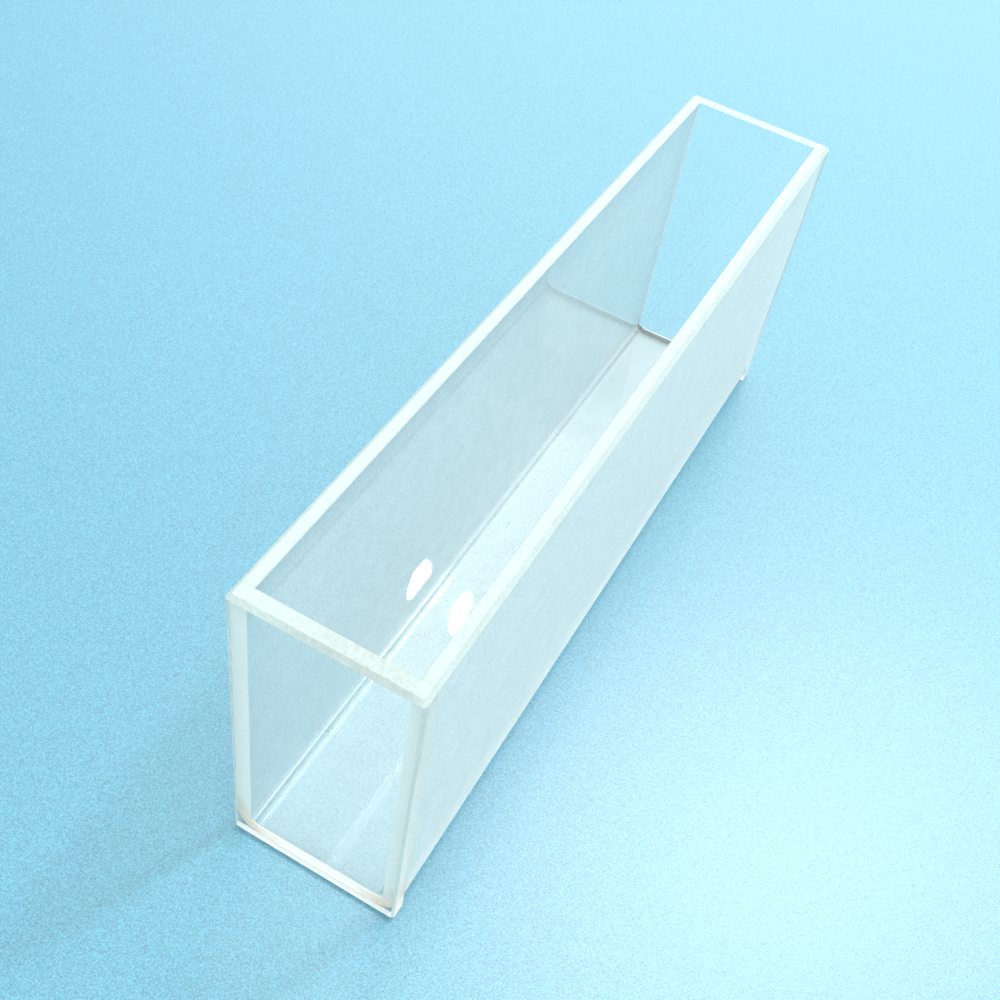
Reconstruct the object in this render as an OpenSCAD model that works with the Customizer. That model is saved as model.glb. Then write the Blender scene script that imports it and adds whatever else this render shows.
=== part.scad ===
// Rectangular optical cell: a moulded glass trough closed at each end by a flat polished window.
// Millimetres, +Z up. The light path runs along Y, and the origin is the middle of the resting face.

/* [Cell] */
// Light path: clear distance between the two windows
path_length = 100; // [50:5:100]
// Width over the side walls
outer_width = 20; // [14:0.5:30]
// Height from the resting face to the ground rim
outer_height = 40.8; // [30:0.2:60]

/* [Trough] */
// Thickness of the two side walls
side_wall_t = 1.75; // [1.25:0.05:2.5]
// Thickness of the floor
floor_t = 1.6; // [1.25:0.05:2.5]
// Radius of the rounded lower edges on the outside
outer_corner_r = 2.9; // [1.5:0.1:3.5]
// Radius of the fillet where a wall meets the floor on the inside
inner_corner_r = 1; // [0.3:0.1:1.5]

/* [Windows] */
// Thickness of each window plate
window_t = 2; // [1.25:0.05:3]
// Thickness of the fused glass bond between the trough and a window
seam_t = 0.15; // [0.05:0.05:0.3]

/* [Edges] */
// Leg of the ground bevel round the outside of the rim
rim_bevel = 0.5; // [0.2:0.05:0.8]
// Leg of the chamfer on a window's lower outer edge
foot_chamfer = 0.25; // [0.1:0.05:0.5]
// Leg of the chamfer on a window's upright outer edges
upright_chamfer = 0.25; // [0.1:0.05:0.5]

/* [Hidden] */

inner_width = outer_width - 2 * side_wall_t;
body_length = path_length - 2 * seam_t;
window_inner_y = path_length / 2;
// Surplus that carries a cutting shape past the face it cuts
over = 1;
$fn = 64;

// A rectangle centred on the middle line, with round lower corners and square upper ones
module round_bottomed(width, height, radius) {
    translate([-width / 2, radius]) square([width, height - radius]);
    translate([radius - width / 2, 0]) square([width - 2 * radius, height]);
    for (side = [-1, 1])
        translate([side * (width / 2 - radius), radius]) circle(radius);
}

// Everything below the rim's two sloping sides, seen along the light path
module under_rim() {
    half = outer_width / 2;
    shoulder = outer_height - rim_bevel;
    polygon([
        [-half, -over], [half, -over], [half, shoulder],
        [half - rim_bevel, outer_height], [rim_bevel - half, outer_height], [-half, shoulder]
    ]);
}

// Section of the trough: one wall, the floor and the other wall in one outline
module trough_section() {
    difference() {
        intersection() {
            round_bottomed(outer_width, outer_height, outer_corner_r);
            under_rim();
        }
        translate([0, floor_t])
            round_bottomed(inner_width, outer_height, inner_corner_r);
    }
}

// A section drawn across the cell, carried along the light path from start_y
module along_path(start_y, length) {
    translate([0, start_y + length, 0])
        rotate([90, 0, 0])
            linear_extrude(length) children();
}

// Window outline from above, with its outer face towards -Y and its two outer corners eased
module window_plan() {
    half = outer_width / 2;
    polygon([
        [upright_chamfer - half, -window_t], [half - upright_chamfer, -window_t],
        [half, upright_chamfer - window_t], [half, 0], [-half, 0], [-half, upright_chamfer - window_t]
    ]);
}

// Window outline from the side: the rim bevel above and the foot chamfer below, both on the outer face
module window_profile() {
    polygon([
        [foot_chamfer - window_t, 0], [0, 0], [0, outer_height], [rim_bevel - window_t, outer_height],
        [-window_t, outer_height - rim_bevel], [-window_t, foot_chamfer]
    ]);
}

// A window plate at the near end
module window_plate() {
    translate([0, -window_inner_y, 0])
        intersection() {
            linear_extrude(outer_height) window_plan();
            rotate([90, 0, 90])
                linear_extrude(outer_width + 2 * over, center = true) window_profile();
            along_path(-window_t - over, window_t + 2 * over) under_rim();
        }
}

// The bond that fuses the near end of the trough to its window
module seam() {
    along_path(-window_inner_y, seam_t) trough_section();
}

module body() {
    color("azure", 0.5) along_path(-body_length / 2, body_length) trough_section();
}

module front_window() {
    color("lightcyan", 0.4) window_plate();
}

module rear_window() {
    color("lightcyan", 0.4) mirror([0, 1, 0]) window_plate();
}

module front_seam() {
    color("ivory") seam();
}

module rear_seam() {
    color("ivory") mirror([0, 1, 0]) seam();
}

body();
front_window();
rear_window();
front_seam();
rear_seam();
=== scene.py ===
"""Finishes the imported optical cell: polished and ground glass, fused bonds, a bench and its light."""

import math

import bmesh
import bpy
from bpy.props import FloatProperty, FloatVectorProperty, PointerProperty
from mathutils import Matrix, Vector


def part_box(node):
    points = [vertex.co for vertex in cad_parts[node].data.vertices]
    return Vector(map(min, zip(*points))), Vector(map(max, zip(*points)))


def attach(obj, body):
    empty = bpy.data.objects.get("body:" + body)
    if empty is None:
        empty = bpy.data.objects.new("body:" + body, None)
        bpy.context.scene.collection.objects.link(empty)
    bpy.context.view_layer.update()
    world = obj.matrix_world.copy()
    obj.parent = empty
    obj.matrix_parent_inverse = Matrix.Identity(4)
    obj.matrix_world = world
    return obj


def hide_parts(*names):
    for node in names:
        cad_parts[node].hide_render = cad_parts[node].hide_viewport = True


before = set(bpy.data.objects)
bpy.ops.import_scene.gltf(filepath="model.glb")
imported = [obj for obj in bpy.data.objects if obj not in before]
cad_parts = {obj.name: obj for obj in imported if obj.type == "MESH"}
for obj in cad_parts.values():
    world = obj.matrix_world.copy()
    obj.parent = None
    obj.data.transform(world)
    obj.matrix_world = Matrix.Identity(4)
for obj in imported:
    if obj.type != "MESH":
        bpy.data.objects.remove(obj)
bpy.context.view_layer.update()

bl_info = {
    "name": "Rectangular optical cell",
    "version": (1, 0, 0),
    "blender": (4, 5, 0),
    "location": "View3D > Sidebar > Optical cell",
    "description": "Models a moulded glass trough with its two fused end windows, and lights it on a bench",
    "category": "Add Mesh",
}

MM = 0.001
# two lengths that differ by less than this are the same
TOUCH = 0.01 * MM
# the cell's own axes
ACROSS, LENGTHWAYS, UPRIGHT = range(3)
BODY = "root"


# ---------------------------------------------------------------- sizes read from the frame

# above the part of the outer rounding that lies under the chamber
ABOVE_ROUNDING = 0.5 * MM
THINNEST_FLOOR = 1 * MM
THICKEST_FLOOR_SHARE = 0.2


def chamber_section():
    """Half the width of the chamber and the height of its floor, from the trough's own points."""
    points = [vertex.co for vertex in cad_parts["body"].data.vertices]
    rim = max(point.z for point in points)
    half_width = min(abs(point.x) for point in points if point.z > rim - MM)
    floor = min(point.z for point in points if point.z > ABOVE_ROUNDING and abs(point.x) < half_width)
    if not THINNEST_FLOOR < floor < THICKEST_FLOOR_SHARE * rim:
        raise ValueError("The chamber floor wasn't found in the trough's points")
    return half_width, floor


CHAMBER_HALF, CHAMBER_FLOOR = chamber_section()
# how far a cutter runs past what it cuts
PAST = 1 * MM
# each arc's radius, and the slope in degrees where it starts and ends, from the floor to the wall
CORNER_ARCS = (
    (8.6 * MM, 0, 3),
    (0.84 * MM, 3, 39),
    (0.84 * MM, 39, 5),
    (0.2 * MM, 5, 90),
)


# ---------------------------------------------------------------- what a user would change

class CellShape(bpy.types.PropertyGroup):
    """Sizes of the glass that the solids give only in outline"""

    outer_radius: FloatProperty(
        name="Lower edge radius", description="Radius of the trough's rounded lower edges",
        default=2.9 * MM, min=1 * MM, max=4 * MM, subtype="DISTANCE", unit="LENGTH")
    floor_tilt: FloatProperty(
        name="Floor tilt", description="How far the chamber floor is off square to the walls",
        default=math.radians(0.8), min=0, max=math.radians(2), subtype="ANGLE", unit="ROTATION")
    rim_bevel: FloatProperty(
        name="Rim bevel", description="Leg of the bevel ground round the outside of the rim",
        default=0.5 * MM, min=0.1 * MM, max=1 * MM, subtype="DISTANCE", unit="LENGTH")
    arris: FloatProperty(
        name="Inner arris", description="Leg of the fine bevel on the rim's inner edge",
        default=0.1 * MM, min=0.02 * MM, max=0.3 * MM, subtype="DISTANCE", unit="LENGTH")
    foot_chamfer: FloatProperty(
        name="Window chamfer", description="Leg of the chamfer on a window's lower and upright outer edges",
        default=0.25 * MM, min=0.05 * MM, max=0.6 * MM, subtype="DISTANCE", unit="LENGTH")
    waver: FloatProperty(
        name="Hand-ground waver", description="How far the rim bevel's lower line strays from straight",
        default=0.16 * MM, min=0, max=0.4 * MM, subtype="DISTANCE", unit="LENGTH")
    bond_inset: FloatProperty(
        name="Bond clearance", description="Space between the bond and the trough's end",
        default=0.01 * MM, min=0.001 * MM, max=0.03 * MM, subtype="DISTANCE", unit="LENGTH")
    bond_wetting: FloatProperty(
        name="Bond wetting", description="How far the bond reaches into its window, so that no air shows",
        default=0.01 * MM, min=0.001 * MM, max=0.03 * MM, subtype="DISTANCE", unit="LENGTH")


class CellGlass(bpy.types.PropertyGroup):
    """Colours and clearness of the glass"""

    polished_tint: FloatVectorProperty(
        name="Polished glass", description="Tint of the clear glass", size=3,
        default=(0.98, 0.998, 1.0), min=0, max=1, subtype="COLOR")
    # painted shade: a grey line along the chamber's lower corners, standing for the dark line that the
    # crease shows by refraction and reflection
    root_shade_tint: FloatVectorProperty(
        name="Chamber root", description="Tint of the crease along the chamber's lower corners", size=3,
        default=(0.60, 0.64, 0.64), min=0, max=1, subtype="COLOR")
    # painted shade: the joint below the chamber floor is darkened for the little light that reaches it
    joint_shade_tint: FloatVectorProperty(
        name="Joint", description="Colour of the fused joint as seen through the chamber floor", size=3,
        default=(0.34, 0.34, 0.32), min=0, max=1, subtype="COLOR")
    foot_tint: FloatVectorProperty(
        name="Window underside", description="Colour of a window's ground underside", size=3,
        default=(0.98, 0.98, 0.97), min=0, max=1, subtype="COLOR")
    ground_tint: FloatVectorProperty(
        name="Ground glass", description="Colour of the ground faces", size=3,
        default=(0.95, 0.985, 0.97), min=0, max=1, subtype="COLOR")
    rear_tint: FloatVectorProperty(
        name="Rear underside", description="Colour of the greyer rear end of the underside", size=3,
        default=(0.76, 0.80, 0.79), min=0, max=1, subtype="COLOR")
    rim_tint: FloatVectorProperty(
        name="Ground rim", description="Colour of the coarser ground rim and bevels", size=3,
        default=(0.63, 0.728, 0.70), min=0, max=1, subtype="COLOR")
    edge_tint: FloatVectorProperty(
        name="Window edge", description="Colour of a window's ground upright edges", size=3,
        default=(0.92, 0.94, 0.91), min=0, max=1, subtype="COLOR")
    bond_tint: FloatVectorProperty(
        name="Bond", description="Colour of the fused bond along the floor", size=3,
        default=(1.0, 0.98, 0.95), min=0, max=1, subtype="COLOR")
    # painted shade: the bond is darker along the side walls than along the floor, for how the light falls
    # there
    bond_side_shade_tint: FloatVectorProperty(
        name="Bond at the sides", description="Colour of the fused bond along the side walls", size=3,
        default=(0.91, 0.92, 0.87), min=0, max=1, subtype="COLOR")
    stain_tint: FloatVectorProperty(
        name="Bond stain", description="Warm stain in the bond at the lower corners", size=3,
        default=(0.68, 0.52, 0.32), min=0, max=1, subtype="COLOR")
    ground_clear: FloatProperty(
        name="Ground clearness", description="Share of light that a ground wall lets through",
        default=0.44, min=0, max=1, subtype="FACTOR")
    underside_clear: FloatProperty(
        name="Underside clearness", description="Share of light that the ground underside lets through",
        default=0.55, min=0, max=1, subtype="FACTOR")
    rim_clear: FloatProperty(
        name="Rim clearness", description="Share of light that the ground rim lets through",
        default=0.25, min=0, max=1, subtype="FACTOR")
    edge_clear: FloatProperty(
        name="Window edge clearness", description="Share of light that a window's ground edge lets through",
        default=0.85, min=0, max=1, subtype="FACTOR")
    bond_clear: FloatProperty(
        name="Bond clearness", description="Share of light that the bond lets through",
        default=0.05, min=0, max=1, subtype="FACTOR")


class CellStage(bpy.types.PropertyGroup):
    """The bench, the lamps and the camera"""

    bench_colour: FloatVectorProperty(
        name="Bench", description="Colour of the plain pale bench", size=3,
        default=(0.107, 0.372, 0.508), min=0, max=1, subtype="COLOR")
    bench_roughness: FloatProperty(
        name="Bench roughness", description="Roughness of the bench's satin surface",
        default=0.36, min=0.1, max=1, subtype="FACTOR")
    fill_colour: FloatVectorProperty(
        name="Fill light", description="Colour of the light from all round", size=3,
        default=(0.96, 1.0, 0.99), min=0, max=1, subtype="COLOR")
    fill_strength: FloatProperty(
        name="Fill strength", description="Strength of the light from all round",
        default=0.835, min=0, max=2)
    front_strength: FloatProperty(
        name="Front light", description="Strength of the soft low light from in front of the cell",
        default=1.2, min=0, max=10)
    back_strength: FloatProperty(
        name="Back light", description="Strength of the soft light from behind the cell",
        default=0.88, min=0, max=10)
    panel_radiance: FloatProperty(
        name="Ceiling panel", description="Brightness of the soft panel overhead",
        default=7.4, min=0, max=30)
    key_radiance: FloatProperty(
        name="Key light", description="Brightness of the lamp's soft glow, which throws the shadows",
        default=125, min=0, max=2000)
    lamp_radiance: FloatProperty(
        name="Lamp", description="Brightness of the small lamp that the chamber mirrors twice",
        default=450, min=0, max=2000)
    lens: FloatProperty(
        name="Lens", description="Focal length of the camera",
        default=45.789, min=10, max=200, subtype="DISTANCE_CAMERA", unit="CAMERA")


# ---------------------------------------------------------------- modelling helpers

ROUND_SEGMENTS = 14
ARC_PIECES = 8
LONG_EDGE = 5 * MM
SMOOTH_ANGLE = math.radians(30)


def select_nothing():
    """Leaves edit mode and deselects every object."""
    if bpy.context.mode != "OBJECT":
        bpy.ops.object.mode_set(mode="OBJECT")
    bpy.ops.object.select_all(action="DESELECT")


def make_active(piece):
    """Selects one object alone and makes it the active one."""
    select_nothing()
    piece.select_set(True)
    bpy.context.view_layer.objects.active = piece


def add_block(name, low, high):
    """Adds a block between two corners, with its place in its mesh."""
    select_nothing()
    bpy.ops.mesh.primitive_cube_add(size=1, location=(low + high) / 2, scale=high - low)
    block = bpy.context.object
    block.name = name
    block.data.name = name
    bpy.ops.object.transform_apply(location=True, rotation=True, scale=True)
    return block


def edit_edges(piece, chosen):
    """Opens edit mode with only the edges selected whose two ends pass a test."""
    make_active(piece)
    bpy.ops.object.mode_set(mode="EDIT")
    bpy.ops.mesh.select_mode(type="EDGE")
    bpy.ops.mesh.select_all(action="DESELECT")
    mesh = bmesh.from_edit_mesh(piece.data)
    for edge in mesh.edges:
        edge.select_set(chosen(edge.verts[0].co, edge.verts[1].co))
    mesh.select_flush_mode()
    bmesh.update_edit_mesh(piece.data)


def apply_modifiers(piece):
    """Applies every modifier in order."""
    make_active(piece)
    for modifier in list(piece.modifiers):
        bpy.ops.object.modifier_apply(modifier=modifier.name)


def near(value, target):
    """True where two lengths agree to a hundredth of a millimetre."""
    return abs(value - target) < TOUCH


def along(axis, a, b):
    """True where an edge runs along one axis."""
    others = {ACROSS, LENGTHWAYS, UPRIGHT} - {axis}
    return all(near(a[i], b[i]) for i in others) and not near(a[axis], b[axis])


def arc_steps(radius, start, end):
    """Short steps along an arc, inwards and up, whose slope turns from one angle to another."""
    steps = []
    for index in range(ARC_PIECES):
        slope_a = start + (end - start) * index / ARC_PIECES
        slope_b = start + (end - start) * (index + 1) / ARC_PIECES
        across = abs(math.sin(slope_b) - math.sin(slope_a)) * radius
        rise = abs(math.cos(slope_a) - math.cos(slope_b)) * radius
        steps.append((across, rise))
    return steps


def corner_steps():
    """The chamber's lower corner from floor to wall: a soft start, a low bead and a tight root."""
    steps = []
    for radius, start, end in CORNER_ARCS:
        steps += arc_steps(radius, math.radians(start), math.radians(end))
    return steps


def trace_section(name, points, start_y, end_y):
    """Draws a closed section point by point and pulls it out to a length."""
    select_nothing()
    bpy.ops.mesh.primitive_plane_add(size=1 * MM, location=(0, 0, 0))
    bar = bpy.context.object
    bar.name = name
    bpy.ops.object.mode_set(mode="EDIT")
    bpy.ops.mesh.select_mode(type="VERT")
    bpy.ops.mesh.select_all(action="SELECT")
    bpy.ops.mesh.merge(type="CENTER")
    bpy.ops.transform.translate(value=(points[0][0], start_y, points[0][1]))
    for (x, z), (next_x, next_z) in zip(points, points[1:]):
        bpy.ops.mesh.extrude_vertices_move(TRANSFORM_OT_translate={"value": (next_x - x, 0, next_z - z)})
    bpy.ops.mesh.select_all(action="SELECT")
    bpy.ops.mesh.edge_face_add()
    bpy.ops.mesh.select_all(action="SELECT")
    bpy.ops.mesh.extrude_region_move(TRANSFORM_OT_translate={"value": (0, end_y - start_y, 0)})
    bpy.ops.mesh.select_all(action="SELECT")
    bpy.ops.mesh.normals_make_consistent(inside=False)
    bpy.ops.object.mode_set(mode="OBJECT")
    return bar


def chamber_points(top, tilt):
    """The chamber's section, from the top left, down the wall, over the floor and up again."""
    steps = corner_steps()
    reach = sum(across for across, rise in steps)
    lift = sum(rise for across, rise in steps)
    left_floor = CHAMBER_FLOOR - math.tan(tilt) * (CHAMBER_HALF - reach)
    right_floor = CHAMBER_FLOOR + math.tan(tilt) * (CHAMBER_HALF - reach)
    points = [(-CHAMBER_HALF, top), (-CHAMBER_HALF, left_floor + lift)]
    for across, rise in reversed(steps):
        x, z = points[-1]
        points.append((x + across, z - rise))
    points.append((CHAMBER_HALF - reach, right_floor))
    for across, rise in steps:
        x, z = points[-1]
        points.append((x + across, z + rise))
    points.append((CHAMBER_HALF, top))
    return points


def round_lower_edges(block, low, high, radius):
    """Rounds a block's two lower long edges."""
    def lower_long(a, b):
        at_side = near(a.x, low.x) or near(a.x, high.x)
        return along(LENGTHWAYS, a, b) and near(a.z, low.z) and at_side

    edit_edges(block, lower_long)
    bpy.ops.mesh.bevel(offset=radius, offset_type="OFFSET", segments=ROUND_SEGMENTS, profile=0.5)
    bpy.ops.object.mode_set(mode="OBJECT")


def make_trough(name, low, high, shape):
    """Models a length of trough: a round-bottomed block with the chamber cut through it."""
    trough = add_block(name, low, high)
    round_lower_edges(trough, low, high, shape.outer_radius)
    section = chamber_points(high.z + PAST, shape.floor_tilt)
    chamber = trace_section(name + "_chamber", section, low.y - PAST, high.y + PAST)
    cut = trough.modifiers.new("chamber", "BOOLEAN")
    cut.operation = "DIFFERENCE"
    cut.solver = "EXACT"
    cut.object = chamber
    faces_before = len(trough.data.polygons)
    apply_modifiers(trough)
    bpy.data.objects.remove(chamber)
    if len(trough.data.polygons) < 2 * faces_before:
        raise RuntimeError("The chamber wasn't cut through " + name)
    return trough


def weigh_edges(piece, chosen, weight):
    """Gives the chosen edges a bevel weight."""
    edit_edges(piece, chosen)
    bpy.ops.transform.edge_bevelweight(value=weight)
    bpy.ops.object.mode_set(mode="OBJECT")


def bevel_by_weight(piece, width):
    """Bevels each weighted edge, to its own share of a width."""
    bevel = piece.modifiers.new("arris", "BEVEL")
    bevel.limit_method = "WEIGHT"
    bevel.width = width
    bevel.segments = 1
    apply_modifiers(piece)


def cut_along(piece, axis, cuts):
    """Divides the long edges that run along one axis into short ones."""
    edit_edges(piece, lambda a, b: along(axis, a, b) and abs(a[axis] - b[axis]) > LONG_EDGE)
    bpy.ops.mesh.subdivide(number_cuts=cuts)
    bpy.ops.object.mode_set(mode="OBJECT")


def slice_level(piece, height):
    """Cuts a piece's faces along a level line and keeps both sides."""
    make_active(piece)
    bpy.ops.object.mode_set(mode="EDIT")
    bpy.ops.mesh.select_all(action="SELECT")
    bpy.ops.mesh.bisect(plane_co=(0, 0, height), plane_no=(0, 0, 1))
    bpy.ops.object.mode_set(mode="OBJECT")


def waver_line(piece, name, chosen, amount, wavelength):
    """Moves one level line of points a little up and down, as a line ground by hand runs."""
    group = piece.vertex_groups.new(name=name)
    group.add([v.index for v in piece.data.vertices if chosen(v.co)], 1, "REPLACE")
    texture = bpy.data.textures.new(name, "CLOUDS")
    texture.noise_scale = wavelength
    texture.noise_depth = 2
    shift = piece.modifiers.new(name, "DISPLACE")
    shift.texture = texture
    shift.texture_coords = "LOCAL"
    shift.direction = "Z"
    shift.vertex_group = name
    shift.mid_level = 0.5
    shift.strength = amount
    apply_modifiers(piece)
    piece.vertex_groups.clear()


def flatten_large_faces(piece):
    """Weighs smooth shading by area, so that a flat face mirrors as one up to its round edges."""
    normals = piece.modifiers.new("normals", "WEIGHTED_NORMAL")
    normals.mode = "FACE_AREA"
    normals.weight = 50
    normals.keep_sharp = True
    apply_modifiers(piece)


def finish_piece(piece, node, finishes, choose):
    """Gives each face the finish that choose names, smooths the piece and lets it stand for its solid."""
    names = list(finishes)
    piece.data.materials.clear()
    for material in finishes.values():
        piece.data.materials.append(material)
    for polygon in piece.data.polygons:
        polygon.material_index = names.index(choose(polygon.center, polygon.normal))
    make_active(piece)
    bpy.ops.object.shade_smooth_by_angle(angle=SMOOTH_ANGLE)
    flatten_large_faces(piece)
    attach(piece, BODY)
    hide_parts(node)


# ---------------------------------------------------------------- material helpers

# where a Mix node's two colours and its result stand, as its other sockets share their names
MIX_FIRST, MIX_SECOND, MIX_RESULT = 6, 7, 2


def new_group(name, inputs, outputs):
    """Starts a shader node group; inputs are (name, socket type, default), outputs (name, socket type)."""
    group = bpy.data.node_groups.new(name, "ShaderNodeTree")
    for label, kind, default in inputs:
        socket = group.interface.new_socket(name=label, in_out="INPUT", socket_type=kind)
        socket.default_value = default
    for label, kind in outputs:
        group.interface.new_socket(name=label, in_out="OUTPUT", socket_type=kind)
    return group, group.nodes.new("NodeGroupInput"), group.nodes.new("NodeGroupOutput")


def set_inputs(node, **values):
    """Sets a node's sockets by name, with spaces written as underscores."""
    for label, value in values.items():
        node.inputs[label.replace("_", " ")].default_value = value


def feed(tree, source, socket):
    """Links a socket to a source that is a socket too, and otherwise sets it to a number or a colour."""
    if isinstance(source, bpy.types.NodeSocket):
        tree.links.new(source, socket)
    elif isinstance(source, (int, float)):
        socket.default_value = source
    else:
        socket.default_value = (*source[:3], 1)


def principled(tree):
    """A material's Principled shader."""
    return next(node for node in tree.nodes if node.type == "BSDF_PRINCIPLED")


def object_place(tree):
    """The place on the piece."""
    return tree.nodes.new("ShaderNodeTexCoord").outputs["Object"]


def split_place(tree, place):
    """A place's X, Y and Z."""
    parts = tree.nodes.new("ShaderNodeSeparateXYZ")
    tree.links.new(place, parts.inputs[0])
    return parts.outputs


def noise(tree, place, scale, detail=3.0, roughness=0.5):
    """Adds a noise texture that reads a place, with about as many swells to the metre as its scale."""
    node = tree.nodes.new("ShaderNodeTexNoise")
    set_inputs(node, Detail=detail, Roughness=roughness)
    feed(tree, scale, node.inputs["Scale"])
    tree.links.new(place, node.inputs["Vector"])
    return node.outputs["Fac"]


def math_node(tree, operation, *terms, clamp=False):
    """Adds a Math node over numbers and sockets."""
    node = tree.nodes.new("ShaderNodeMath")
    node.operation = operation
    node.use_clamp = clamp
    for socket, term in zip(node.inputs, terms):
        feed(tree, term, socket)
    return node.outputs["Value"]


def ramp(tree, value, start, end, top=1.0, soft=False):
    """Runs from 0 where a value reaches start to top where it reaches end; soft rounds both ends."""
    node = tree.nodes.new("ShaderNodeMapRange")
    node.interpolation_type = "SMOOTHSTEP" if soft else "LINEAR"
    set_inputs(node, From_Min=start, From_Max=end, To_Min=0.0, To_Max=top)
    tree.links.new(value, node.inputs["Value"])
    return node.outputs["Result"]


def swing(tree, pattern, amount):
    """Turns a pattern of 0 to 1 into a swing to either side of 0."""
    return math_node(tree, "MULTIPLY", math_node(tree, "SUBTRACT", pattern, 0.5), amount)


def blend_colours(tree, factor, first, second):
    """Adds a colour Mix node from the first colour to the second."""
    node = tree.nodes.new("ShaderNodeMix")
    node.data_type = "RGBA"
    tree.links.new(factor, node.inputs["Factor"])
    feed(tree, first, node.inputs[MIX_FIRST])
    feed(tree, second, node.inputs[MIX_SECOND])
    return node.outputs[MIX_RESULT]


def lighten(tree, colour, change):
    """Makes a colour lighter or darker by a change to either side of 0."""
    tone = tree.nodes.new("ShaderNodeHueSaturation")
    feed(tree, colour, tone.inputs["Color"])
    tree.links.new(math_node(tree, "ADD", 1.0, change), tone.inputs["Value"])
    return tone.outputs["Color"]


def recolour(tree, mask, tint):
    """Turns a material's own pattern of colour into a tint where a mask is 1."""
    base = principled(tree).inputs["Base Color"]
    own = base.links[0].from_socket
    tree.links.new(blend_colours(tree, mask, own, tint), base)


def add_bump(tree, height, strength, distance):
    """Raises a surface by a height, as bump."""
    bump = tree.nodes.new("ShaderNodeBump")
    set_inputs(bump, Strength=strength, Distance=distance)
    tree.links.new(height, bump.inputs["Height"])
    tree.links.new(bump.outputs["Normal"], principled(tree).inputs["Normal"])


def shared(name, make, *values, **more):
    """A material or node group by name, made on first use."""
    found = bpy.data.materials.get(name) or bpy.data.node_groups.get(name)
    return found or make(name, *values, **more)


# ---------------------------------------------------------------- glass

GLASS_IOR = 1.5
# the least roughness of polished glass, and what smears add to it
POLISH = 0.004
SMEAR = 0.005
SMEAR_SCALE = 220
RIPPLE = 0.003 * MM
RIPPLE_SCALE = 90
# the pits' share of the grain, beside the blotches
PIT_SHARE = 0.75
PIT_BUMP = 0.3
PIT_DEPTH = 0.02 * MM
# how far the grain lightens and darkens a face
COARSE_GRAIN = 1.2
RIM_GRAIN = 0.6
FINE_GRAIN = 0.15
WALL_ROUGHNESS = 0.6
UNDERSIDE_ROUGHNESS = 0.5
RIM_ROUGHNESS = 0.65
EDGE_ROUGHNESS = 0.9
FOOT_ROUGHNESS = 0.6
BOND_ROUGHNESS = 0.6
# what each finish leaves of the light that passes straight through it
CLEAR_VEIL = (0.97, 0.99, 0.985, 1)
WINDOW_VEIL = (0.96, 0.98, 0.98, 1)
FOOT_VEIL = (0, 0, 0, 1)
WALL_VEIL = (0.72, 0.75, 0.75, 1)
WALL_VEIL_IN = (0.50, 0.53, 0.54, 1)
SHOULDER_VEIL = (0.15, 0.18, 0.20, 1)
UNDERSIDE_VEIL = (0.85, 0.87, 0.87, 1)
RIM_VEIL = (0.40, 0.43, 0.44, 1)
EDGE_VEIL = (0.66, 0.69, 0.69, 1)
EDGE_VEIL_IN = (0.18, 0.21, 0.22, 1)
BOND_VEIL = (0.8, 0.8, 0.78, 1)
# how far from the wall the root's painted grey shade line has faded out, and how far it is at its darkest
ROOT_SHADE_LINE = (0.14 * MM, 0.36 * MM)
ROOT_SCALE = 500
ROOT_SWING = 0.8
ROOT_LEAST = 0.6
# where along the cell the greyer underside starts and is full, before its edge strays
REAR_GREY = (24 * MM, 40 * MM)
REAR_STRAY = 8 * MM
REAR_SCALE = 150
# how far above the chamber floor the joint takes to turn from its painted shade below to its look at the
# sides, and the bond from its floor colour to its darker painted-shade colour at the sides
JOINT_FADE = 2 * MM
# the stain grows outwards over one length and fades upwards over the next; clouds break up its edge
STAIN_ACROSS = 10 * MM
STAIN_UP = 9 * MM
STAIN_SCALE = 700
STAIN_CLOUD = 0.6
STAIN_START = 0.62
STAIN_DEEPENS = 1.6


def ground_grain_group(name):
    """The look of glass ground with abrasive: fine pits, and slow changes in how deep they are."""
    group, inward, outward = new_group(
        name,
        [("Colour", "NodeSocketColor", (0.9, 0.97, 0.95, 1)), ("Pit scale", "NodeSocketFloat", 3200),
         ("Blotch scale", "NodeSocketFloat", 420), ("Roughness", "NodeSocketFloat", 0.55),
         ("Contrast", "NodeSocketFloat", 0.5)],
        [("Colour", "NodeSocketColor"), ("Roughness", "NodeSocketFloat"), ("Height", "NodeSocketFloat")])
    place = object_place(group)
    pits = noise(group, place, inward.outputs["Pit scale"], detail=2.0, roughness=0.6)
    blotches = noise(group, place, inward.outputs["Blotch scale"], detail=4.0, roughness=0.6)
    depth = math_node(group, "ADD", math_node(group, "MULTIPLY", pits, PIT_SHARE),
                      math_node(group, "MULTIPLY", blotches, 1 - PIT_SHARE))
    change = swing(group, depth, inward.outputs["Contrast"])
    group.links.new(lighten(group, inward.outputs["Colour"], change), outward.inputs["Colour"])
    rough = math_node(group, "ADD", inward.outputs["Roughness"], change, clamp=True)
    group.links.new(rough, outward.inputs["Roughness"])
    group.links.new(pits, outward.inputs["Height"])
    return group


def add_grain(tree, tint, roughness, contrast):
    """Gives a material the colour and roughness of ground glass."""
    grain = tree.nodes.new("ShaderNodeGroup")
    grain.name = "grain"
    grain.node_tree = shared("ground grain", ground_grain_group)
    set_inputs(grain, Colour=(*tint, 1), Roughness=roughness, Contrast=contrast)
    shader = principled(tree)
    tree.links.new(grain.outputs["Colour"], shader.inputs["Base Color"])
    tree.links.new(grain.outputs["Roughness"], shader.inputs["Roughness"])
    return grain


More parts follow.
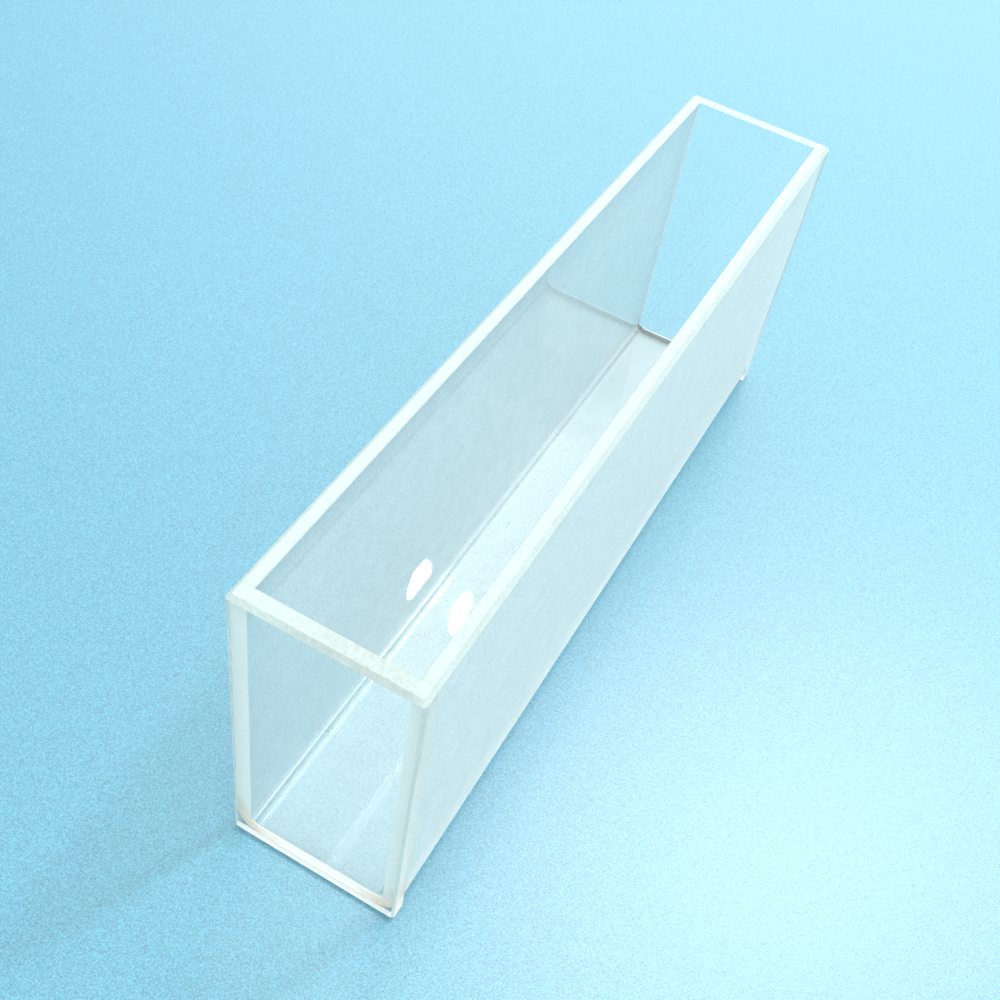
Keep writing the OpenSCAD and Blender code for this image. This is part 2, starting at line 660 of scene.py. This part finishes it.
def glass_material(name, clear, roughness, veil, veil_in=None):
    """Starts a glass material whose light and soft shadow pass straight through, dimmed by a veil.

    A veil_in dims what enters the glass from outside, and the veil then only what leaves it.
    """
    material = bpy.data.materials.new(name)
    material.use_nodes = True
    tree = material.node_tree
    tree.nodes.clear()
    shader = tree.nodes.new("ShaderNodeBsdfPrincipled")
    set_inputs(shader, IOR=GLASS_IOR, Transmission_Weight=clear, Roughness=roughness)
    passing = tree.nodes.new("ShaderNodeBsdfTransparent")
    passing.inputs["Color"].default_value = veil
    if veil_in:
        within = tree.nodes.new("ShaderNodeNewGeometry").outputs["Backfacing"]
        tree.links.new(blend_colours(tree, within, veil_in, veil), passing.inputs["Color"])
    path = tree.nodes.new("ShaderNodeLightPath")
    surface = shader.outputs[0]
    for ray in ("Is Diffuse Ray", "Is Shadow Ray"):
        mix = tree.nodes.new("ShaderNodeMixShader")
        tree.links.new(path.outputs[ray], mix.inputs[0])
        tree.links.new(surface, mix.inputs[1])
        tree.links.new(passing.outputs[0], mix.inputs[2])
        surface = mix.outputs[0]
    output = tree.nodes.new("ShaderNodeOutputMaterial")
    tree.links.new(surface, output.inputs["Surface"])
    return material


def polished_glass(name, tint, ripple=0, veil=CLEAR_VEIL, veil_in=None):
    """Clear glass, with the slow ripple of a moulded face where ripple isn't 0."""
    material = glass_material(name, clear=1.0, roughness=POLISH, veil=veil, veil_in=veil_in)
    tree = material.node_tree
    shader = principled(tree)
    feed(tree, tint, shader.inputs["Base Color"])
    place = object_place(tree)
    smears = noise(tree, place, SMEAR_SCALE, roughness=0.6)
    tree.links.new(math_node(tree, "MULTIPLY_ADD", smears, SMEAR, POLISH), shader.inputs["Roughness"])
    if ripple:
        swells = noise(tree, place, RIPPLE_SCALE, detail=1.0)
        add_bump(tree, swells, strength=1.0, distance=ripple)
    return material


def ground_glass(name, tint, clear, roughness, veil, veil_in=None, contrast=COARSE_GRAIN):
    """Glass ground with abrasive."""
    material = glass_material(name, clear, roughness, veil, veil_in)
    grain = add_grain(material.node_tree, tint, roughness, contrast)
    add_bump(material.node_tree, grain.outputs["Height"], PIT_BUMP, PIT_DEPTH)
    return material


def root_shade_glass(name, glass):
    """Clear glass with a painted grey shade line along the chamber's lower corners, stronger in some
    places.
    """
    material = polished_glass(name, glass.polished_tint)
    tree = material.node_tree
    place = object_place(tree)
    from_middle = math_node(tree, "ABSOLUTE", split_place(tree, place)["X"])
    faded, darkest = (CHAMBER_HALF - reach for reach in ROOT_SHADE_LINE)
    line = ramp(tree, from_middle, faded, darkest, soft=True)
    strength = math_node(tree, "MULTIPLY_ADD", noise(tree, place, ROOT_SCALE), ROOT_SWING, ROOT_LEAST)
    mask = math_node(tree, "MULTIPLY", line, strength, clamp=True)
    # painted shade: the crease's grey line is blended into the clear glass's colour
    colour = blend_colours(tree, mask, glass.polished_tint, glass.root_shade_tint)
    tree.links.new(colour, principled(tree).inputs["Base Color"])
    return material


def foot_glass(name, glass):
    """Ground glass that lets no light through: it brightens what is above it and shades the bench."""
    material = bpy.data.materials.new(name)
    material.use_nodes = True
    add_grain(material.node_tree, glass.foot_tint, FOOT_ROUGHNESS, FINE_GRAIN)
    return material


def joint_shade_glass(name, glass):
    """The trough's end faces, fused to a window: painted dark shade up to the chamber floor and ground
    glass above.
    """
    material = ground_glass(name, glass.ground_tint, glass.ground_clear, WALL_ROUGHNESS, WALL_VEIL)
    tree = material.node_tree
    height = split_place(tree, object_place(tree))["Z"]
    # painted shade below the chamber floor, fading out above it
    recolour(tree, ramp(tree, height, CHAMBER_FLOOR + JOINT_FADE, CHAMBER_FLOOR), glass.joint_shade_tint)
    return material


def underside_glass(name, glass):
    """The ground underside, greyer towards its rear end."""
    material = ground_glass(name, glass.ground_tint, glass.underside_clear, UNDERSIDE_ROUGHNESS,
                            UNDERSIDE_VEIL)
    tree = material.node_tree
    place = object_place(tree)
    along_cell = split_place(tree, place)["Y"]
    ragged = math_node(tree, "MULTIPLY_ADD", noise(tree, place, REAR_SCALE), REAR_STRAY, along_cell)
    recolour(tree, ramp(tree, ragged, *REAR_GREY, soft=True), glass.rear_tint)
    return material


def bond_glass(name, glass):
    """The fused bond: milky, darker up the side walls by painted shade, with a warm stain where it runs
    into the lower corners.
    """
    material = ground_glass(name, glass.bond_tint, glass.bond_clear, BOND_ROUGHNESS, BOND_VEIL,
                            contrast=FINE_GRAIN)
    tree = material.node_tree
    place = object_place(tree)
    parts = split_place(tree, place)
    # painted shade: a darker colour up the side walls than along the floor
    at_side = ramp(tree, parts["Z"], CHAMBER_FLOOR, CHAMBER_FLOOR + JOINT_FADE)
    body = blend_colours(tree, at_side, glass.bond_tint, glass.bond_side_shade_tint)
    tree.links.new(body, tree.nodes["grain"].inputs["Colour"])
    across = math_node(tree, "DIVIDE", math_node(tree, "ABSOLUTE", parts["X"]), STAIN_ACROSS)
    corner = math_node(tree, "SUBTRACT", across, math_node(tree, "DIVIDE", parts["Z"], STAIN_UP))
    cloud = math_node(tree, "MULTIPLY", noise(tree, place, STAIN_SCALE), STAIN_CLOUD)
    spread = math_node(tree, "SUBTRACT", math_node(tree, "ADD", corner, cloud), STAIN_START)
    recolour(tree, math_node(tree, "MULTIPLY", spread, STAIN_DEEPENS, clamp=True), glass.stain_tint)
    return material


def clear_wall(glass):
    """The chamber's polished faces, as they came out of the mould."""
    return shared("moulded glass", polished_glass, glass.polished_tint, RIPPLE)


def moulded_root(glass):
    """The tight crease where the chamber's floor meets a wall, which the eye sees as a grey line, painted
    here as shade in the glass's colour.
    """
    return shared("moulded root", root_shade_glass, glass)


def ground_wall(glass):
    """The trough's ground outer faces."""
    return shared("ground glass", ground_glass, glass.ground_tint, glass.ground_clear, WALL_ROUGHNESS,
                  WALL_VEIL, WALL_VEIL_IN)


def ground_shoulder(glass):
    """The trough's rounded lower edges, which keep light off the bench along the line they stand on."""
    return shared("ground shoulder", ground_glass, glass.ground_tint, glass.ground_clear, WALL_ROUGHNESS,
                  SHOULDER_VEIL)


def ground_underside(glass):
    """The trough's underside."""
    return shared("ground underside", underside_glass, glass)


def ground_rim(glass):
    """The rim and its bevels, on every piece."""
    return shared("ground rim", ground_glass, glass.rim_tint, glass.rim_clear, RIM_ROUGHNESS, RIM_VEIL,
                  contrast=RIM_GRAIN)


def joint_face(glass):
    """The trough's ends, with painted shade below the chamber floor."""
    return shared("joint face", joint_shade_glass, glass)


def clear_window(glass):
    """A window's two polished faces."""
    return shared("window glass", polished_glass, glass.polished_tint, veil=WINDOW_VEIL)


def window_foot(glass):
    """The lowest strip of a window: clear to the eye, but it keeps light off the bench at its foot."""
    return shared("window foot", polished_glass, glass.polished_tint, veil=WINDOW_VEIL, veil_in=FOOT_VEIL)


def ground_edge(glass):
    """A window's upright edges."""
    return shared("ground edge", ground_glass, glass.edge_tint, glass.edge_clear, EDGE_ROUGHNESS,
                  EDGE_VEIL, EDGE_VEIL_IN)


def ground_foot(glass):
    """A window's underside, which light from above turns white."""
    return shared("ground foot", foot_glass, glass)


def bond(glass):
    """The fused bond between the trough and a window."""
    return shared("bond", bond_glass, glass)


# ---------------------------------------------------------------- pieces

# a face belongs to the rim where its middle is less than this share of the rim bevel below the top
RIM_SHARE = 0.8
# how far the chamber floor's tilt may take it below its middle height
TILT_ROOM = 0.2 * MM
ROOT_REACH = 0.64 * MM
FOOT_HEIGHT = 0.6 * MM
# a face takes a finish where its normal points far enough endways, sideways, down or up
END_FACING = 0.9
UNDERSIDE_FACING = -0.8
SHOULDER_FACING = -0.15
ROOT_FACING = 0.1
WINDOW_FACING = 0.95
FOOT_FACING = -0.5
# how many cuts divide a long edge, how long the waver's waves are and how far from its ends it stops
TROUGH_CUTS = 90
TROUGH_WAVE = 6 * MM
TROUGH_STILL = 0.5 * MM
WINDOW_CUTS = 36
WINDOW_WAVE = 4 * MM
WINDOW_STILL = 1.2 * MM


def bevel_rim(piece, high, shape):
    """Bevels the rim's long edges: broadly outside, finely inside."""
    def rim_edge(x):
        return lambda a, b: along(LENGTHWAYS, a, b) and near(a.z, high.z) and near(abs(a.x), x)

    weigh_edges(piece, rim_edge(high.x), weight=1.0)
    weigh_edges(piece, rim_edge(CHAMBER_HALF), weight=shape.arris / shape.rim_bevel)
    bevel_by_weight(piece, shape.rim_bevel)


class CELL_OT_trough(bpy.types.Operator):
    """Model the moulded glass trough"""

    bl_idname = "cell.trough"
    bl_label = "Trough"

    def execute(self, context):
        shape = context.scene.cell_shape
        glass = context.scene.cell_glass
        low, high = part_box("body")
        trough = make_trough("trough", low, high, shape)
        self.grind_rim(trough, high, shape)
        finishes = {
            "inside": clear_wall(glass),
            "wall": ground_wall(glass),
            "rim": ground_rim(glass),
            "underside": ground_underside(glass),
            "root": moulded_root(glass),
            "shoulder": ground_shoulder(glass),
            "end": joint_face(glass),
        }
        finish_piece(trough, "body", finishes,
                     lambda centre, normal: self.finish_of(centre, normal, high, shape))
        return {"FINISHED"}

    def grind_rim(self, trough, high, shape):
        """Bevels the rim's long edges and lets the outer bevel waver."""
        bevel_rim(trough, high, shape)
        cut_along(trough, LENGTHWAYS, TROUGH_CUTS)
        moving_y = abs(high.y) - TROUGH_STILL
        shoulder = high.z - shape.rim_bevel

        def on_outer_line(p):
            return near(p.z, shoulder) and abs(p.y) < moving_y and abs(p.x) > CHAMBER_HALF + MM

        waver_line(trough, "rim shoulder", on_outer_line, shape.waver, TROUGH_WAVE)

    def finish_of(self, centre, normal, high, shape):
        """Names the finish of a face from its middle and the way it faces."""
        if centre.z > high.z - RIM_SHARE * shape.rim_bevel:
            return "rim"
        if abs(normal.y) > END_FACING:
            return "end"
        if normal.z < UNDERSIDE_FACING:
            return "underside"
        if normal.z < SHOULDER_FACING:
            return "shoulder"
        if abs(centre.x) > CHAMBER_HALF + TOUCH or centre.z < CHAMBER_FLOOR - TILT_ROOM:
            return "wall"
        at_root = normal.z > ROOT_FACING and abs(centre.x) > CHAMBER_HALF - ROOT_REACH
        return "root" if at_root else "inside"


def make_window(name, node, shape, glass):
    """Models one end window: a flat plate with ground edges."""
    low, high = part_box(node)
    plate = add_block(name, low, high)
    outer_y = low.y if low.y < 0 else high.y

    def top(a, b):
        on_top = near(a.z, high.z) and near(b.z, high.z)
        outer = along(ACROSS, a, b) and near(a.y, outer_y)
        return on_top and (outer or along(LENGTHWAYS, a, b))

    def upright_or_foot(a, b):
        outer = near(a.y, outer_y) and near(b.y, outer_y)
        return outer and (along(UPRIGHT, a, b) or (along(ACROSS, a, b) and near(a.z, low.z)))

    weigh_edges(plate, top, weight=1.0)
    weigh_edges(plate, upright_or_foot, weight=shape.foot_chamfer / shape.rim_bevel)
    bevel_by_weight(plate, shape.rim_bevel)
    cut_along(plate, ACROSS, WINDOW_CUTS)
    strip_top = low.z + FOOT_HEIGHT
    slice_level(plate, strip_top)
    shoulder = high.z - shape.rim_bevel
    moving_x = high.x - WINDOW_STILL

    def on_outer_line(p):
        return near(p.z, shoulder) and near(p.y, outer_y) and abs(p.x) < moving_x

    waver_line(plate, name + " shoulder", on_outer_line, shape.waver, WINDOW_WAVE)

    def finish_of(centre, normal):
        if normal.z < FOOT_FACING:
            return "foot"
        if abs(normal.y) > WINDOW_FACING:
            return "strip" if centre.z < strip_top else "window"
        on_side = abs(normal.x) > WINDOW_FACING and centre.z < shoulder
        return "edge" if on_side else "rim"

    finishes = {
        "window": clear_window(glass),
        "rim": ground_rim(glass),
        "strip": window_foot(glass),
        "edge": ground_edge(glass),
        "foot": ground_foot(glass),
    }
    finish_piece(plate, node, finishes, finish_of)


class CELL_OT_windows(bpy.types.Operator):
    """Model the two flat end windows"""

    bl_idname = "cell.windows"
    bl_label = "End windows"

    def execute(self, context):
        for name in ("front_window", "rear_window"):
            make_window(name + "_plate", name, context.scene.cell_shape, context.scene.cell_glass)
        return {"FINISHED"}


class CELL_OT_bonds(bpy.types.Operator):
    """Model the thin fused bond at each end"""

    bl_idname = "cell.bonds"
    bl_label = "Bonds"

    def execute(self, context):
        shape = context.scene.cell_shape
        glass = context.scene.cell_glass
        for node in ("front_seam", "rear_seam"):
            low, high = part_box(node)
            at_front = low.y < 0
            low.y -= shape.bond_wetting if at_front else -shape.bond_inset
            high.y += -shape.bond_inset if at_front else shape.bond_wetting
            high.z -= shape.bond_inset
            piece = make_trough(node + "_bond", low, high, shape)
            bevel_rim(piece, high, shape)
            shoulder = high.z - RIM_SHARE * shape.rim_bevel
            finish_piece(piece, node, {"bond": bond(glass), "rim": ground_rim(glass)},
                         lambda centre, normal: "rim" if centre.z > shoulder else "bond")
        return {"FINISHED"}


# ---------------------------------------------------------------- bench, lamps and camera

CAMERA_EYE = Vector((32.322, -103.777, 127.972)) * MM
CAMERA_AIM = Vector((-2.6, -11.036, 20.0)) * MM
CAMERA_ROLL = math.radians(-11.031)
SENSOR_WIDTH = 36
CLIP_START = 5 * MM
# the way from the cell to the lamp, and how far off it hangs
LAMP_WAY = Vector((0.2397, 0.554, 0.7973)).normalized()
LAMP_DISTANCE = 1.2
# the lamp's two widths and the width of its glow, as angles seen from the cell
LAMP_SPANS = (math.radians(0.85), math.radians(2.2))
LAMP_TURN = math.radians(-14)
KEY_SPAN = math.radians(6)
# the way to each bright patch of the surroundings, and how far from there it ends and starts to fade
BACK_WAY = Vector((-0.1, 0.87, 0.48)).normalized()
BACK_EDGE = math.radians(45)
BACK_HEART = math.radians(12)
FRONT_WAY = Vector((0.15, -0.95, 0.22)).normalized()
FRONT_EDGE = math.radians(60)
FRONT_HEART = math.radians(10)
BENCH_SIDE = 6.0
BENCH_DROP = 0.05 * MM
CARD_IOR = 1.7
TOOTH_SCALE = 6000
TOOTH_SWING = 3.8
TOOTH_BUMP = 0.7
TOOTH_DEPTH = 0.02 * MM
PANEL_HEIGHT = 1.0
# where the panel starts and ends, as shares of its height
PANEL_X = (-0.13, 0.26)
PANEL_Y = (0.32, 0.71)


def look_along(place, forward, roll=0.0):
    """The matrix of a camera or lamp at a place that looks one way, turned by a roll about it."""
    level = forward.cross(Vector((0, 0, 1))).normalized()
    down = forward.cross(level)
    right = math.cos(roll) * level + math.sin(roll) * down
    up = right.cross(forward)
    turn = Matrix((right, up, -forward)).transposed()
    return Matrix.Translation(place) @ turn.to_4x4()


def add_area_lamp(name, pose, shape, size, radiance):
    """Adds a flat lamp of a given brightness, whose power is that brightness times pi times its area."""
    data = bpy.data.lights.new(name, "AREA")
    data.shape = shape
    data.size, data.size_y = size
    round_share = 1.0 if shape == "RECTANGLE" else math.pi / 4
    data.energy = radiance * math.pi * size[0] * size[1] * round_share
    lamp = bpy.data.objects.new(name, data)
    bpy.context.scene.collection.objects.link(lamp)
    lamp.matrix_world = pose
    return lamp


def bench_material(stage):
    """Plain satin card with a faint tooth."""
    material = bpy.data.materials.new("bench card")
    material.use_nodes = True
    tree = material.node_tree
    shader = principled(tree)
    set_inputs(shader, Roughness=stage.bench_roughness, IOR=CARD_IOR, Specular_IOR_Level=1.0)
    tooth = noise(tree, object_place(tree), TOOTH_SCALE, detail=4.0, roughness=0.85)
    colour = lighten(tree, stage.bench_colour, swing(tree, tooth, TOOTH_SWING))
    tree.links.new(colour, shader.inputs["Base Color"])
    add_bump(tree, tooth, TOOTH_BUMP, TOOTH_DEPTH)
    return material


class CELL_OT_stage(bpy.types.Operator):
    """Set the bench, the lamps and the camera"""

    bl_idname = "cell.stage"
    bl_label = "Bench, lamps and camera"

    def execute(self, context):
        stage = context.scene.cell_stage
        self.lay_bench(stage)
        self.light(context, stage)
        self.aim_camera(context, stage)
        return {"FINISHED"}

    def lay_bench(self, stage):
        """Lays the bench just under the cell."""
        select_nothing()
        bpy.ops.mesh.primitive_plane_add(size=BENCH_SIDE, location=(0, 0, -BENCH_DROP))
        bench = bpy.context.object
        bench.name = "bench"
        bpy.ops.object.transform_apply(location=True, rotation=True, scale=True)
        bench.data.materials.append(bench_material(stage))

    def light(self, context, stage):
        """Lights the cell from all round, from a panel overhead and from a small lamp with a soft glow."""
        world = bpy.data.worlds.new("fill")
        world.use_nodes = True
        self.shade_world(world.node_tree, stage)
        context.scene.world = world
        panel_place = Vector((sum(PANEL_X) / 2, sum(PANEL_Y) / 2, 1)) * PANEL_HEIGHT
        panel_size = [(end - start) * PANEL_HEIGHT for start, end in (PANEL_X, PANEL_Y)]
        panel_pose = Matrix.Translation(panel_place)
        add_area_lamp("ceiling panel", panel_pose, "RECTANGLE", panel_size, stage.panel_radiance)
        lamp_place = LAMP_WAY * LAMP_DISTANCE
        lamp_size = [LAMP_DISTANCE * span for span in LAMP_SPANS]
        lamp_pose = look_along(lamp_place, -LAMP_WAY, LAMP_TURN)
        add_area_lamp("lamp", lamp_pose, "ELLIPSE", lamp_size, stage.lamp_radiance)
        key_size = [LAMP_DISTANCE * KEY_SPAN] * 2
        key = add_area_lamp("key", look_along(lamp_place, -LAMP_WAY), "DISK", key_size, stage.key_radiance)
        key.visible_glossy = False
        key.visible_transmission = False
        context.scene.view_settings.view_transform = "Standard"
        # a limit on indirect light would put out the lamp's two small mirror images in the chamber
        context.scene.cycles.sample_clamp_indirect = 0

    def shade_world(self, tree, stage):
        """Even light from all round, with soft brighter patches behind the cell and low in front of it."""
        background = tree.nodes["Background"]
        background.inputs["Color"].default_value = (*stage.fill_colour, 1)
        way = tree.nodes.new("ShaderNodeTexCoord").outputs["Generated"]
        back = self.add_patch(tree, way, BACK_WAY, BACK_EDGE, BACK_HEART, stage.back_strength)
        front = self.add_patch(tree, way, FRONT_WAY, FRONT_EDGE, FRONT_HEART, stage.front_strength)
        patches = math_node(tree, "ADD", back, front)
        total = math_node(tree, "ADD", patches, stage.fill_strength)
        tree.links.new(total, background.inputs["Strength"])

    def add_patch(self, tree, way, middle, edge, heart, strength):
        """A round soft-edged patch of the surroundings: full within its heart, nothing past its edge."""
        toward = tree.nodes.new("ShaderNodeVectorMath")
        toward.operation = "DOT_PRODUCT"
        toward.inputs[1].default_value = middle
        tree.links.new(way, toward.inputs[0])
        facing = toward.outputs["Value"]
        return ramp(tree, facing, math.cos(edge), math.cos(heart), top=strength, soft=True)

    def aim_camera(self, context, stage):
        """Sets the camera at its eye point, turned a little about its own axis."""
        data = bpy.data.cameras.new("camera")
        data.sensor_width = SENSOR_WIDTH
        data.lens = stage.lens
        data.clip_start = CLIP_START
        camera = bpy.data.objects.new("camera", data)
        context.scene.collection.objects.link(camera)
        forward = (CAMERA_AIM - CAMERA_EYE).normalized()
        camera.matrix_world = look_along(CAMERA_EYE, forward, CAMERA_ROLL)
        context.scene.camera = camera


class CELL_PT_panel(bpy.types.Panel):
    """Lists the pieces and their settings"""

    bl_idname = "CELL_PT_panel"
    bl_label = "Optical cell"
    bl_space_type = "VIEW_3D"
    bl_region_type = "UI"
    bl_category = "Optical cell"

    def draw(self, context):
        for settings in (context.scene.cell_shape, context.scene.cell_glass, context.scene.cell_stage):
            box = self.layout.box()
            for name in settings.__annotations__:
                box.prop(settings, name)
        for operator in PIECES:
            self.layout.operator(operator.bl_idname)


PIECES = (CELL_OT_trough, CELL_OT_windows, CELL_OT_bonds, CELL_OT_stage)
CLASSES = (CellShape, CellGlass, CellStage, *PIECES, CELL_PT_panel)


def register():
    for entry in CLASSES:
        bpy.utils.register_class(entry)
    bpy.types.Scene.cell_shape = PointerProperty(type=CellShape)
    bpy.types.Scene.cell_glass = PointerProperty(type=CellGlass)
    bpy.types.Scene.cell_stage = PointerProperty(type=CellStage)


def unregister():
    del bpy.types.Scene.cell_stage
    del bpy.types.Scene.cell_glass
    del bpy.types.Scene.cell_shape
    for entry in reversed(CLASSES):
        bpy.utils.unregister_class(entry)


def main():
    register()
    bpy.ops.cell.stage()
    bpy.ops.cell.trough()
    bpy.ops.cell.windows()
    bpy.ops.cell.bonds()


if __name__ == "__main__":
    main()
